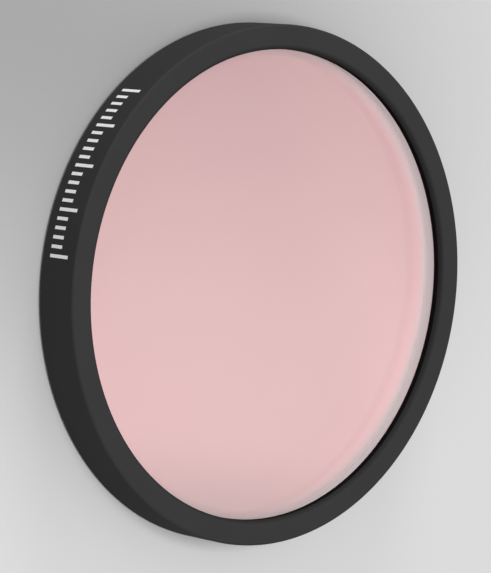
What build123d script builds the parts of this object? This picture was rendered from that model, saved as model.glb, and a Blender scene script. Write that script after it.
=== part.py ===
"""Mounted optical bandpass filter: a coated glass disc held in a thin round cell by a threaded ring.

Millimetres. The origin is the centre of the cell's back face, and +Z is the optical axis, which
points out of the front face. The filter lies on its back face.
"""

import os

from build123d import *

os.makedirs("parts", exist_ok=True)

# Cell, from the outside inwards
cell_diameter = 50.0
rim_wall = 1.25  # wall between the rim and the thread of the retaining ring
thread_step = 0.55  # how far the thread stands outside the glass bore
lip_overlap = 0.5  # how far the front lip reaches over the glass
lip_thickness = 1.1
rim_round = 0.25  # front edge of the rim
rim_chamfer = 0.3  # lead-in of the rim at the back face
lip_round = 0.5  # front edge of the aperture
thread_relief = 0.3  # thread bore past the back of the glass, so that the ring can tighten
thread_chamfer = 0.15  # lead-in of the thread at the back face

# Glass
glass_thickness = 3.0
glass_bevel = 0.2  # ground bevel on both edges

# Retaining ring
ring_thickness = 0.8
ring_sink = 0.1  # how far the ring lies under the back face
ring_chamfer = 0.1
slot_width = 1.5  # the two slots that a spanner turns the ring by
slot_floor = 0.3  # ring left under a slot
slot_count = 2

# Fits, as a gap on the radius
glass_gap = 0.1
thread_gap = 0.05

# Radii that follow
cell_radius = cell_diameter / 2
thread_radius = cell_radius - rim_wall
bore_radius = thread_radius - thread_step
glass_radius = bore_radius - glass_gap
aperture_radius = glass_radius - lip_overlap
ring_radius = thread_radius - thread_gap

# Heights that follow, from the back face up
ring_top = ring_sink + ring_thickness
glass_top = ring_top + glass_thickness
cell_height = glass_top + lip_thickness


def at_height(edges, height):
    """The edges that lie at one height."""
    return edges.filter_by(lambda edge: abs(edge.center().Z - height) < rim_round / 10)


def at_radius(edges, radius):
    """The circles of one radius."""
    circles = edges.filter_by(GeomType.CIRCLE)
    return circles.filter_by(lambda edge: abs(edge.radius - radius) < thread_gap / 10)


# Cell: turned in one piece, open from the back, with a lip at the front that the glass seats against
with BuildPart() as filter_cell:
    with BuildSketch(Plane.XZ):
        with BuildLine():
            Polyline(
                (thread_radius, 0),
                (cell_radius, 0),
                (cell_radius, cell_height),
                (aperture_radius, cell_height),
                (aperture_radius, glass_top),
                (bore_radius, glass_top),
                (bore_radius, ring_top + thread_relief),
                (thread_radius, ring_top + thread_relief),
                close=True,
            )
        make_face()
    revolve(axis=Axis.Z)
    fillet(at_radius(at_height(filter_cell.edges(), cell_height), cell_radius), rim_round)
    chamfer(at_radius(at_height(filter_cell.edges(), 0), cell_radius), rim_chamfer)
    fillet(at_radius(at_height(filter_cell.edges(), cell_height), aperture_radius), lip_round)
    chamfer(at_radius(at_height(filter_cell.edges(), 0), thread_radius), thread_chamfer)

# Glass: one disc with polished faces and a ground edge
with BuildPart() as filter_glass:
    with BuildSketch(Plane.XY.offset(ring_top)):
        Circle(glass_radius)
    extrude(amount=glass_thickness)
    chamfer(filter_glass.edges().filter_by(GeomType.CIRCLE), glass_bevel)

# Retaining ring: screws in from the back until it clamps the glass against the lip
with BuildPart() as retaining_ring:
    with BuildSketch(Plane.XY.offset(ring_sink)):
        Circle(ring_radius)
        Circle(aperture_radius, mode=Mode.SUBTRACT)
    extrude(amount=ring_thickness)
    chamfer(at_radius(retaining_ring.edges(), ring_radius), ring_chamfer)
    chamfer(at_radius(at_height(retaining_ring.edges(), ring_sink), aperture_radius), ring_chamfer)
    with BuildSketch(Plane.XY.offset(ring_sink)):
        with PolarLocations((aperture_radius + ring_radius) / 2, slot_count):
            Rectangle(thread_radius - aperture_radius, slot_width)
    extrude(amount=ring_thickness - slot_floor, mode=Mode.SUBTRACT)

filter_cell.part.label = "filter_cell"
filter_glass.part.label = "filter_glass"
retaining_ring.part.label = "retaining_ring"

export_step(filter_cell.part, "parts/filter_cell.step")
export_step(filter_glass.part, "parts/filter_glass.step")
export_step(retaining_ring.part, "parts/retaining_ring.step")
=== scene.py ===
"""Looks of a mounted optical bandpass filter: satin black cell, pink coated glass, slotted retaining ring.

Metres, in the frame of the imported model. The filter lies on its back face, with +Z out of the front face.
"""

import math

import bpy
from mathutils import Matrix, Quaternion, Vector


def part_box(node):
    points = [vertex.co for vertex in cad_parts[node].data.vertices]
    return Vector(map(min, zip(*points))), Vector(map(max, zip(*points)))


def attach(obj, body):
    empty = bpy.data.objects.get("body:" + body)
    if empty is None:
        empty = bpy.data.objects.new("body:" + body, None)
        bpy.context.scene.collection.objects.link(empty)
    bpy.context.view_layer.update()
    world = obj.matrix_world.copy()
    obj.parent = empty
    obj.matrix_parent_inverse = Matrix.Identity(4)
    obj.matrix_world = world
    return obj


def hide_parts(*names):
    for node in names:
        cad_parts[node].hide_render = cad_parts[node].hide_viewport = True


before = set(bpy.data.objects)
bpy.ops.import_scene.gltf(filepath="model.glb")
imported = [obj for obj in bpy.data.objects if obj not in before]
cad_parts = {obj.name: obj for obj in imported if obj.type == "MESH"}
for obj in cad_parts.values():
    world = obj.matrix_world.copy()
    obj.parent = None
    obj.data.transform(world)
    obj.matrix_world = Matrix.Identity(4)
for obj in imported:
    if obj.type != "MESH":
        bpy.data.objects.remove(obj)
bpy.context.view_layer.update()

MM = 0.001
TURN = 2 * math.pi
SEGMENTS = 360  # round the axis
ARC_STEPS = 8  # in each rounded edge
SHARP_ANGLE = math.radians(30)

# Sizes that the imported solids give
_, CELL_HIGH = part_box("filter_cell")
GLASS_LOW, GLASS_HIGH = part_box("filter_glass")
RING_LOW, RING_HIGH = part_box("retaining_ring")
CELL_RADIUS, CELL_TOP = CELL_HIGH[0], CELL_HIGH[2]
GLASS_RADIUS, GLASS_BOTTOM, GLASS_TOP = GLASS_HIGH[0], GLASS_LOW[2], GLASS_HIGH[2]
RING_RADIUS, RING_BOTTOM, RING_TOP = RING_HIGH[0], RING_LOW[2], RING_HIGH[2]

# Sizes of the turned sections that a box doesn't give
GLASS_GAP = 0.1 * MM
THREAD_GAP = 0.05 * MM
LIP_OVERLAP = 0.5 * MM
RIM_ROUND = 0.25 * MM
RIM_CHAMFER = 0.3 * MM
LIP_ROUND = 0.5 * MM
THREAD_RELIEF = 0.3 * MM
THREAD_CHAMFER = 0.15 * MM
GLASS_BEVEL = 0.2 * MM
RING_CHAMFER = 0.1 * MM
SLOT_WIDTH = 1.5 * MM
SLOT_FLOOR = 0.3 * MM
SLOT_COUNT = 2
APERTURE_RADIUS = GLASS_RADIUS - LIP_OVERLAP
BORE_RADIUS = GLASS_RADIUS + GLASS_GAP
THREAD_RADIUS = RING_RADIUS + THREAD_GAP
SEAT = 0.005 * MM  # keeps the glass from sharing a plane with the lip and the ring

# The fine thread of the ring and of its bore
THREAD_PITCH = 0.35 * MM
THREAD_DEPTH = 0.2 * MM
THREAD_ROW = 0.05 * MM  # height from one row of points to the next

# Index marks on the rim. A mark has eight corners, first the four at its inner side.
MARK_MIDDLE = math.radians(250)
MARK_STEP = math.radians(2)
MARKS_EACH_SIDE = 10
LONG_MARK_EVERY = 5
MARK_WIDTH = 0.32 * MM
MARK_FOOT = 1.3 * MM
SHORT_MARK = 1.5 * MM
LONG_MARK = 2.5 * MM
MARK_PROUD = 0.01 * MM
MARK_FACES = [(0, 3, 2, 1), (4, 5, 6, 7), (0, 1, 5, 4), (1, 2, 6, 5), (2, 3, 7, 6), (3, 0, 4, 7)]

# Black anodising, over the lines that turning leaves
TURNING_LINES = 0.12 * MM
ANODISED_GRAIN = 0.06 * MM
ANODISED_CLOUDS = 6 * MM
ANODISED_RELIEF = 0.01 * MM
ANODISED_DARK = (0.036, 0.036, 0.0365, 1)
ANODISED_PALE = (0.041, 0.041, 0.0415, 1)
BLACK_SHADED_WALL_LEVEL = 0.005  # tone of the aperture wall in front of the glass: blackened, and darker still as painted shade
SHADED_ROUND_START = 0.55  # share of the anodised tone on the aperture's round, where it meets that wall; painted shade darkens the round towards it

# Clear front of the glass. A slant is nought straight in and one flat along the surface.
GLASS_IOR = 1.52
SLANT_START, SLANT_STOP = 0.4, 0.85  # direct light is held back from the first on, most from the second
FLAT_LIGHT_PASSED = 0.15  # share of direct light that still passes then

# Coating: tones from one side of the glass to the other along X, and at its edge. They are painted light
# and shade: shade at both ends along X, light past the middle, and a greyer tone near the edge painted as
# the ground edge's pale light
COAT_SHADED_MINUS_X = (0.655, 0.405, 0.415, 1)
COAT_LIT = (0.89, 0.57, 0.577, 1)
COAT_SHADED_PLUS_X = (0.625, 0.45, 0.443, 1)
COAT_EDGE_LIGHT = (0.7, 0.56, 0.56, 1)
SHADE_TO_LIGHT_ALONG_X = (-1.4 * GLASS_RADIUS, 0.6 * GLASS_RADIUS)
LIGHT_TO_SHADE_ALONG_X = (0.63 * GLASS_RADIUS, 1.08 * GLASS_RADIUS)
EDGE_LIGHT_WIDTH = 1.5 * MM
PAINTED_LIGHT_TOWARDS = (-0.5, 0.87, 0)  # the way in which painted light brightens the coating
PAINTED_LIGHT_START, PAINTED_LIGHT_STOP = 4 * MM, 20 * MM
PAINTED_LIGHT_GAIN = 1.1  # how many times as bright the painted light makes it
COAT_CLOUDS = 9 * MM
COAT_CLOUD_LEVEL = 0.99  # brightness of its darkest clouds
COAT_HAZE = 2 * MM

# Ground edge of the glass, pink where the coating shines through from the back
GRIT = 0.08 * MM
GRIT_RELIEF = 0.02 * MM
EDGE_PINK = (0.78, 0.66, 0.66, 1)
EDGE_PALE = (0.97, 0.98, 0.99, 1)

# White ink
INK_GRAIN = 0.15 * MM
INK_RELIEF = 0.005 * MM
INK_THIN = (0.86, 0.86, 0.85, 1)
INK_FULL = (0.94, 0.94, 0.93, 1)

# Floor, with painted shade: a softly darker oval patch beside the filter
FLOOR_REACH = 3.0  # from the middle to each side
FLOOR_GRAIN = 1 * MM
FLOOR_LEVEL = 0.67
SHADE_PATCH_LEVEL = 0.35
SHADE_PATCH_MIDDLE = (-22 * MM, -34 * MM, 0)
SHADE_PATCH_SQUEEZE = (1.2, 0.73, 0)  # how many times a distance from its middle counts along each axis
SHADE_PATCH_REACH = 67 * MM
FAR_START, FAR_STOP = 0.1, 0.5  # between these distances the floor takes the background's tone

# Light from all round, and the pale tone of the background
WORLD_LEVEL = 0.42
BACKGROUND_LEVEL = 0.72

# Most of a noise lies between these two values
NOISE_LOW, NOISE_HIGH = 0.3, 0.7

# Camera: the photograph's angle to the filter
AIM = Vector((0.4, -2.11, 3.1)) * MM
CAMERA_DISTANCE = 323.8 * MM
CAMERA_ELEVATION = math.radians(47.35)
CAMERA_ROLL = math.radians(97.8)
CAMERA_LENS = 212.95  # focal length in millimetres, for Blender's own sensor
CAMERA_CLIP_START = 1 * MM


# Shapes

def on_circle(radius, angle, height):
    """The point at one radius, angle and height."""
    return radius * math.cos(angle), radius * math.sin(angle), height


def arc(centre, radius, start, stop):
    """Points of a round edge in a section, from one angle to another in quarter turns."""
    angles = [(start + (stop - start) * k / ARC_STEPS) * TURN / 4 for k in range(ARC_STEPS + 1)]
    return [(centre[0] + radius * math.cos(a), centre[1] + radius * math.sin(a)) for a in angles]


def thread(core, low, high, angle):
    """Rows of a fine thread in a section at one angle, from one height up to another."""
    rows = round((high - low) / THREAD_ROW)
    points = []
    for k in range(rows + 1):
        z = low + (high - low) * k / rows
        turn = (z / THREAD_PITCH - angle / TURN) % 1
        runout = min(1, (z - low) / THREAD_PITCH, (high - z) / THREAD_PITCH)
        points.append((core + THREAD_DEPTH * runout * (1 - abs(2 * turn - 1)), z))
    return points


def faces_between(here, there, corners):
    """Faces from one section to the next, round a closed run of the section's points.

    Here and there are the numbers of the two sections' first points.
    """
    pairs = zip(corners, [*corners[1:], corners[0]])
    return [(here + a, there + a, there + b, here + b) for a, b in pairs]


def without_loose(points, faces):
    """The same points and faces, less the points that no face uses."""
    used = sorted({corner for face in faces for corner in face})
    place = {old: new for new, old in enumerate(used)}
    return [points[old] for old in used], [[place[corner] for corner in face] for face in faces]


def turned(section_at):
    """Points and faces of a closed section turned about the axis. The section may depend on the angle."""
    angles = [TURN * k / SEGMENTS for k in range(SEGMENTS)]
    sections = [[on_circle(r, angle, z) for r, z in section_at(angle)] for angle in angles]
    points = [point for section in sections for point in section]
    count = len(sections[0])
    faces = []
    for k in range(SEGMENTS):
        faces += faces_between(k * count, (k + 1) % SEGMENTS * count, range(count))
    return points, faces


def add_piece(name, points, faces, node=None, slot="black_anodised"):
    """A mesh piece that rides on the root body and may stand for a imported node."""
    mesh = bpy.data.meshes.new(name)
    mesh.from_pydata(points, [], faces)
    mesh.validate()
    piece = bpy.data.objects.new(name, mesh)
    bpy.context.scene.collection.objects.link(piece)
    mesh.shade_smooth()
    mesh.set_sharp_from_angle(angle=SHARP_ANGLE)
    normals = piece.modifiers.new("normals", "WEIGHTED_NORMAL")
    normals.keep_sharp = True
    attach(piece, "root")
    if node:
        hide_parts(node)
    return piece


def cell_section(angle):
    """The cell's section, counter-clockwise from the thread's mouth."""
    thread_end = GLASS_BOTTOM + THREAD_RELIEF
    return [
        (THREAD_RADIUS + THREAD_CHAMFER, 0),
        (CELL_RADIUS - RIM_CHAMFER, 0),
        (CELL_RADIUS, RIM_CHAMFER),
        *arc((CELL_RADIUS - RIM_ROUND, CELL_TOP - RIM_ROUND), RIM_ROUND, 0, 1),
        *arc((APERTURE_RADIUS + LIP_ROUND, CELL_TOP - LIP_ROUND), LIP_ROUND, 1, 2),
        (APERTURE_RADIUS, GLASS_TOP),
        (BORE_RADIUS, GLASS_TOP),
        (BORE_RADIUS, thread_end),
        *reversed(thread(THREAD_RADIUS, THREAD_CHAMFER, thread_end, angle)),
    ]


def add_cell(material):
    """The turned cell."""
    cell = add_piece("cell_body", *turned(cell_section), node="filter_cell")
    cell.data.materials.append(material)


def glass_section(angle):
    """The glass disc's section, round its edge from the back to the front. It is the same at each angle."""
    return [
        (GLASS_RADIUS - GLASS_BEVEL, GLASS_BOTTOM + SEAT),
        (GLASS_RADIUS, GLASS_BOTTOM + GLASS_BEVEL),
        (GLASS_RADIUS, GLASS_TOP - GLASS_BEVEL),
        (GLASS_RADIUS - GLASS_BEVEL, GLASS_TOP - SEAT),
    ]


def add_glass(front, edge, coat):
    """The glass disc: clear front, ground edge and bevels, coated back."""
    points, faces = turned(glass_section)
    count = len(points) // SEGMENTS
    walls = [face for j, face in enumerate(faces) if j % count != count - 1]
    back_face = tuple(k * count for k in range(SEGMENTS))[::-1]
    front_face = tuple(k * count + count - 1 for k in range(SEGMENTS))
    faces = [*walls, back_face, front_face]
    glass = add_piece("glass_disc", points, faces, node="filter_glass", slot="coated_glass")
    materials = [front, edge, coat]
    for material in materials:
        glass.data.materials.append(material)
    for polygon, material in zip(glass.data.polygons, [edge] * len(walls) + [coat, front]):
        polygon.material_index = materials.index(material)


def angle_beside(base, shift, radius):
    """The angle, at one radius, of a line that runs beside the radius line at a base angle."""
    return base + math.asin(shift / radius)


def ring_stations():
    """Where the retaining ring is cut into sections: each is an angle and a shift to the side of it.

    The shift gives a slot's two sides, which are parallel planes.
    """
    slots = [TURN * k / SLOT_COUNT for k in range(SLOT_COUNT)]
    sides = [(slot, shift) for slot in slots for shift in (-SLOT_WIDTH / 2, SLOT_WIDTH / 2)]
    stations = [(TURN * k / SEGMENTS, 0) for k in range(SEGMENTS)] + sides
    return sorted(stations, key=lambda station: angle_beside(*station, RING_RADIUS) % TURN)


def in_slot(angle):
    """Whether an angle is inside one of the slots."""
    pitch = TURN / SLOT_COUNT
    off = (angle + pitch / 2) % pitch - pitch / 2
    return abs(RING_RADIUS * math.sin(off)) < SLOT_WIDTH / 2


def ring_section(angle):
    """The retaining ring's section, counter-clockwise from its inner bottom corner."""
    return [
        (APERTURE_RADIUS + RING_CHAMFER, RING_BOTTOM),
        (RING_RADIUS - RING_CHAMFER, RING_BOTTOM),
        *thread(RING_RADIUS, RING_BOTTOM + RING_CHAMFER, RING_TOP - RING_CHAMFER, angle),
        (RING_RADIUS - RING_CHAMFER, RING_TOP),
        (APERTURE_RADIUS, RING_TOP),
        (APERTURE_RADIUS, RING_TOP - SLOT_FLOOR),
        (APERTURE_RADIUS, RING_BOTTOM + RING_CHAMFER),
    ]


def add_retaining_ring(material):
    """The threaded ring, with spanner slots cut across its back face."""
    stations = ring_stations()
    points = []
    middles = []
    for k, (base, shift) in enumerate(stations):
        section = ring_section(base)
        points += [on_circle(r, angle_beside(base, shift, r), z) for r, z in section]
        here = angle_beside(base, shift, RING_RADIUS)
        there = angle_beside(*stations[(k + 1) % len(stations)], RING_RADIUS)
        middles.append(here + (there - here) % TURN / 2)
    count = len(section)

    # The section's points level with the slots' floor: a row of the thread, and one on the inner side
    thread_start = 2
    outer = thread_start + round((RING_TOP - SLOT_FLOOR - RING_BOTTOM - RING_CHAMFER) / THREAD_ROW)
    inner = count - 2
    faces = []
    for k in range(len(stations)):
        here, there = k * count, (k + 1) % len(stations) * count
        open_here, open_before = in_slot(middles[k]), in_slot(middles[k - 1])
        faces += faces_between(here, there, range(outer, inner + 1) if open_here else range(count))
        if open_here != open_before:
            side = [here + j for j in (inner, inner + 1, *range(outer + 1))]
            faces.append(side if open_here else side[::-1])
    ring = add_piece("threaded_ring", *without_loose(points, faces), node="retaining_ring")
    ring.data.materials.append(material)


def add_marks(material):
    """Plain index marks printed on the rim: evenly spaced, some of them longer."""
    half = MARK_WIDTH / 2 / CELL_RADIUS
    points = []
    faces = []
    for k in range(-MARKS_EACH_SIDE, MARKS_EACH_SIDE + 1):
        middle = MARK_MIDDLE + k * MARK_STEP
        top = MARK_FOOT + (SHORT_MARK if k % LONG_MARK_EVERY else LONG_MARK)
        first = len(points)
        for radius in (CELL_RADIUS - MARK_PROUD, CELL_RADIUS + MARK_PROUD):
            for angle, z in ((-half, MARK_FOOT), (half, MARK_FOOT), (half, top), (-half, top)):
                points.append(on_circle(radius, middle + angle, z))
        faces += [tuple(first + corner for corner in face) for face in MARK_FACES]
    marks = add_piece("index_marks", points, faces, slot="white_marking")
    marks.data.materials.append(material)


# Nodes that the materials share

def principled(name):
    """A material with one Principled shader, its tree and that shader."""
    material = bpy.data.materials.new(name)
    material.use_nodes = True
    return material, material.node_tree, material.node_tree.nodes["Principled BSDF"]


def set_inputs(tree, node, inputs):
    """Sets or links inputs of a node: each takes a number, a colour or another node's output."""
    for name, value in inputs.items():
        if isinstance(value, bpy.types.NodeSocket):
            tree.links.new(value, node.inputs[name])
        else:
            node.inputs[name].default_value = value


def add_node(tree, kind, inputs, **settings):
    """A new node with its settings and inputs."""
    node = tree.nodes.new("ShaderNode" + kind)
    for name, value in settings.items():
        setattr(node, name, value)
    set_inputs(tree, node, inputs)
    return node


def math_node(tree, operation, *values):
    """What one operation makes of two or three numbers."""
    return add_node(tree, "Math", dict(enumerate(values)), operation=operation).outputs["Value"]


def vector_node(tree, operation, *values):
    """What one operation makes of vectors: a number for a length or a dot product, else a vector."""
    output = "Value" if operation in ("LENGTH", "DOT_PRODUCT") else "Vector"
    return add_node(tree, "VectorMath", dict(enumerate(values)), operation=operation).outputs[output]


def object_place(tree):
    """The place on the object."""
    return add_node(tree, "TexCoord", {}).outputs["Object"]


def place_along(tree, place, axis):
    """How far along X, Y or Z a place is."""
    return add_node(tree, "SeparateXYZ", {"Vector": place}).outputs[axis]


def from_axis(tree, place):
    """How far from the optical axis a place is."""
    return vector_node(tree, "LENGTH", vector_node(tree, "MULTIPLY", place, (1, 1, 0)))


def blend(tree, value, low, high, start, stop):
    """A value that goes smoothly from start to stop while another goes from low to high."""
    inputs = {"Value": value, "From Min": low, "From Max": high, "To Min": start, "To Max": stop}
    return add_node(tree, "MapRange", inputs, interpolation_type="SMOOTHSTEP").outputs["Result"]


def noise(tree, vector, feature, detail=2):
    """Noise whose features have one size."""
    inputs = {"Vector": vector, "Scale": 1 / feature, "Detail": detail}
    return add_node(tree, "TexNoise", inputs).outputs["Fac"]


def by_noise(tree, value, start, stop):
    """A value that goes smoothly from start to stop as a noise goes up."""
    return blend(tree, value, NOISE_LOW, NOISE_HIGH, start, stop)


def mix_colours(tree, factor, first, second):
    """A colour between two colours."""
    inputs = {"Factor": factor, 6: first, 7: second}
    return add_node(tree, "Mix", inputs, data_type="RGBA").outputs[2]


def bumped(tree, height, strength, distance):
    """The normal of a surface with a fine relief."""
    inputs = {"Height": height, "Strength": strength, "Distance": distance}
    return add_node(tree, "Bump", inputs).outputs["Normal"]


def mix_surface(tree, factor, first, second):
    """Makes the surface a mix of two shaders, all the first where the factor is nought."""
    shaders = {"Fac": factor, 1: first.outputs[0], 2: second.outputs[0]}
    mix = add_node(tree, "MixShader", shaders)
    tree.links.new(mix.outputs["Shader"], tree.nodes["Material Output"].inputs["Surface"])


def grey(level):
    """A neutral colour."""
    return level, level, level, 1


# Materials

def black_anodised():
    """Satin black anodising. The aperture wall in front of the glass is matt black, painted darker still as
    shade, and painted shade fades out across the round above it.
    """
    material, tree, shader = principled("black_anodised")
    place = object_place(tree)
    radius = from_axis(tree, place)
    height = place_along(tree, place, "Z")
    section_place = add_node(tree, "CombineXYZ", {"X": radius, "Z": height}).outputs["Vector"]
    lines = noise(tree, section_place, TURNING_LINES, detail=3)
    grain = noise(tree, place, ANODISED_GRAIN, detail=3)
    clouds = noise(tree, place, ANODISED_CLOUDS)
    round_end = APERTURE_RADIUS + LIP_ROUND
    # painted shade across the aperture's round, darker towards the wall; the wall below is blackened and
    # painted darker still
    round_out_of_shade = blend(tree, radius, APERTURE_RADIUS, round_end, SHADED_ROUND_START, 1)
    above_wall = math_node(tree, "GREATER_THAN", height, CELL_TOP - LIP_ROUND)
    behind = math_node(tree, "LESS_THAN", height, GLASS_TOP)
    outside = math_node(tree, "GREATER_THAN", radius, round_end)
    elsewhere = math_node(tree, "MAXIMUM", behind, outside)
    anodised_out_of_shade = math_node(tree, "MAXIMUM", math_node(tree, "MULTIPLY", above_wall, round_out_of_shade), elsewhere)
    anodised = mix_colours(tree, clouds, ANODISED_DARK, ANODISED_PALE)
    relief = math_node(tree, "ADD", lines, grain)
    set_inputs(tree, shader, {
        "Base Color": mix_colours(tree, anodised_out_of_shade, grey(BLACK_SHADED_WALL_LEVEL), anodised),
        "Roughness": by_noise(tree, grain, 0.82, 0.92),
        "Specular IOR Level": 0.02,
        "Normal": bumped(tree, relief, strength=0.15, distance=ANODISED_RELIEF),
    })
    return material


def clear_glass():
    """The polished front. Scattered light passes it in full, direct light the less the flatter it comes."""
    material, tree, shader = principled("clear_glass")
    set_inputs(tree, shader, {"Roughness": 0, "Transmission Weight": 1, "IOR": GLASS_IOR})
    path = add_node(tree, "LightPath", {}).outputs
    facing = add_node(tree, "LayerWeight", {"Blend": 0.5}).outputs["Facing"]
    slant = blend(tree, facing, SLANT_START, SLANT_STOP, 0, 1)
    held_back = math_node(tree, "MULTIPLY", slant, path["Is Shadow Ray"])
    passed = mix_colours(tree, held_back, grey(1), grey(FLAT_LIGHT_PASSED))
    clear = add_node(tree, "BsdfTransparent", {"Color": passed})
    lighting = math_node(tree, "MAXIMUM", path["Is Shadow Ray"], path["Is Diffuse Ray"])
    mix_surface(tree, lighting, shader, clear)
    return material


def pink_coating():
    """The interference coating on the back of the glass: pink, palest past the middle along X. Its tones
    are painted light and shade: shade towards both ends along X, light brightening it towards one side, and
    a greyer tone at its outer edge painted as the ground edge's pale light.
    """
    material, tree, shader = principled("pink_coating")
    place = object_place(tree)
    across = place_along(tree, place, "X")
    # painted shade towards both ends along X, painted light past the middle
    painted_light_along_x = blend(tree, across, *SHADE_TO_LIGHT_ALONG_X, 0, 1)
    painted_shade_along_x = blend(tree, across, *LIGHT_TO_SHADE_ALONG_X, 0, 1)
    # greyer towards the outer edge, painted as the ground edge's pale light
    painted_edge_light = blend(tree, from_axis(tree, place), GLASS_RADIUS - EDGE_LIGHT_WIDTH, GLASS_RADIUS, 0, 1)
    colour = mix_colours(tree, painted_light_along_x, COAT_SHADED_MINUS_X, COAT_LIT)
    colour = mix_colours(tree, painted_shade_along_x, colour, COAT_SHADED_PLUS_X)
    colour = mix_colours(tree, painted_edge_light, colour, COAT_EDGE_LIGHT)
    # painted light, brightening the coating towards one side
    sideways = vector_node(tree, "DOT_PRODUCT", place, PAINTED_LIGHT_TOWARDS)
    painted_light = blend(tree, sideways, PAINTED_LIGHT_START, PAINTED_LIGHT_STOP, 1, PAINTED_LIGHT_GAIN)
    clouds = by_noise(tree, noise(tree, place, COAT_CLOUDS), COAT_CLOUD_LEVEL, 1)
    level = math_node(tree, "MULTIPLY", painted_light, clouds)
    set_inputs(tree, shader, {
        "Base Color": vector_node(tree, "MULTIPLY", colour, level),
        "Roughness": by_noise(tree, noise(tree, place, COAT_HAZE), 0.35, 0.45),
        "Coat Weight": 1,
        "Coat Roughness": 0.03,
    })
    return material


def ground_edge():
    """The ground edge of the glass: pale and matt, pink where the coating shines through from the back."""
    material, tree, shader = principled("ground_edge")
    place = object_place(tree)
    height = place_along(tree, place, "Z")
    from_back = blend(tree, height, GLASS_BOTTOM + GLASS_BEVEL / 2, GLASS_BOTTOM + 2 * GLASS_BEVEL, 0, 1)
    grit = noise(tree, place, GRIT, detail=3)
    set_inputs(tree, shader, {
        "Base Color": mix_colours(tree, from_back, EDGE_PINK, EDGE_PALE),
        "Roughness": by_noise(tree, grit, 0.75, 0.95),
        "Specular IOR Level": 0.1,
        "Normal": bumped(tree, grit, strength=0.3, distance=GRIT_RELIEF),
    })
    return material


def white_ink():
    """The printed marks: matt white ink with a slightly uneven cover."""
    material, tree, shader = principled("white_ink")
    cover = noise(tree, object_place(tree), INK_GRAIN, detail=3)
    set_inputs(tree, shader, {
        "Base Color": mix_colours(tree, cover, INK_THIN, INK_FULL),
        "Roughness": by_noise(tree, cover, 0.55, 0.7),
        "Normal": bumped(tree, cover, strength=0.2, distance=INK_RELIEF),
    })
    return material


# Floor, light and camera

def seen_directly(tree):
    """One for rays that show the background: from the camera, mirrored, or through glass. Else nought."""
    path = add_node(tree, "LightPath", {}).outputs
    either = math_node(tree, "MAXIMUM", path["Is Camera Ray"], path["Is Glossy Ray"])
    return math_node(tree, "MAXIMUM", either, path["Is Transmission Ray"])


def floor_material():
    """Pale, with painted shade softly darker in the oval patch. Far off it takes the background's tone."""
    material, tree, shader = principled("floor")
    place = object_place(tree)
    # painted shade: the floor grows softly darker towards the patch's middle
    offset = vector_node(tree, "SUBTRACT", place, SHADE_PATCH_MIDDLE)
    away = vector_node(tree, "LENGTH", vector_node(tree, "MULTIPLY", offset, SHADE_PATCH_SQUEEZE))
    out_of_shade_patch = blend(tree, away, 0, SHADE_PATCH_REACH, 0, 1)
    set_inputs(tree, shader, {
        "Base Color": mix_colours(tree, out_of_shade_patch, grey(SHADE_PATCH_LEVEL), grey(FLOOR_LEVEL)),
        "Roughness": by_noise(tree, noise(tree, place, FLOOR_GRAIN), 0.85, 0.95),
    })
    distance = vector_node(tree, "LENGTH", place)
    far_off = blend(tree, distance, FAR_START, FAR_STOP, 0, 1)
    glow = add_node(tree, "Emission", {"Strength": BACKGROUND_LEVEL})
    mix_surface(tree, math_node(tree, "MULTIPLY", far_off, seen_directly(tree)), shader, glow)
    return material


def add_floor():
    """A plain square floor that the filter lies on."""
    ways = ((-1, -1), (1, -1), (1, 1), (-1, 1))
    mesh = bpy.data.meshes.new("floor")
    mesh.from_pydata([(x * FLOOR_REACH, y * FLOOR_REACH, 0) for x, y in ways], [], [(0, 1, 2, 3)])
    mesh.materials.append(floor_material())
    floor = bpy.data.objects.new("floor", mesh)
    bpy.context.scene.collection.objects.link(floor)


def add_world():
    """Even pale light from all round, with the background's tone where it is seen."""
    world = bpy.data.worlds.new("studio")
    world.use_nodes = True
    tree = world.node_tree
    more = BACKGROUND_LEVEL - WORLD_LEVEL
    level = math_node(tree, "MULTIPLY_ADD", seen_directly(tree), more, WORLD_LEVEL)
    set_inputs(tree, tree.nodes["Background"], {"Color": grey(1), "Strength": level})
    bpy.context.scene.world = world


def add_lamp(name, place, size, power):
    """A square soft lamp that faces the filter. The glass doesn't mirror it."""
    light = bpy.data.lights.new(name, "AREA")
    light.size = size
    light.energy = power
    lamp = bpy.data.objects.new(name, light)
    lamp.visible_glossy = False
    lamp.visible_transmission = False
    lamp.location = place
    lamp.rotation_euler = Vector(place).to_track_quat("Z", "Y").to_euler()
    bpy.context.scene.collection.objects.link(lamp)


def add_camera():
    """The camera looks down on the filter, rolled so that the outline stands upright in the picture."""
    data = bpy.data.cameras.new("camera")
    data.lens = CAMERA_LENS
    data.clip_start = CAMERA_CLIP_START
    camera = bpy.data.objects.new("camera", data)
    towards = Vector((0, -math.cos(CAMERA_ELEVATION), math.sin(CAMERA_ELEVATION)))
    camera.location = AIM + towards * CAMERA_DISTANCE
    camera.rotation_mode = "QUATERNION"
    camera.rotation_quaternion = towards.to_track_quat("Z", "Y") @ Quaternion((0, 0, 1), CAMERA_ROLL)
    bpy.context.scene.collection.objects.link(camera)
    bpy.context.scene.camera = camera


add_camera()
add_world()
add_floor()
add_lamp("overhead", place=(0, -0.14, 0.59), size=0.3, power=2.45)
add_lamp("low_side", place=(-0.57, -0.05, 0.1), size=0.2, power=1.7)
black = black_anodised()
add_cell(black)
add_glass(clear_glass(), ground_edge(), pink_coating())
add_retaining_ring(black)
add_marks(white_ink())
bpy.context.scene.view_settings.view_transform = "Standard"
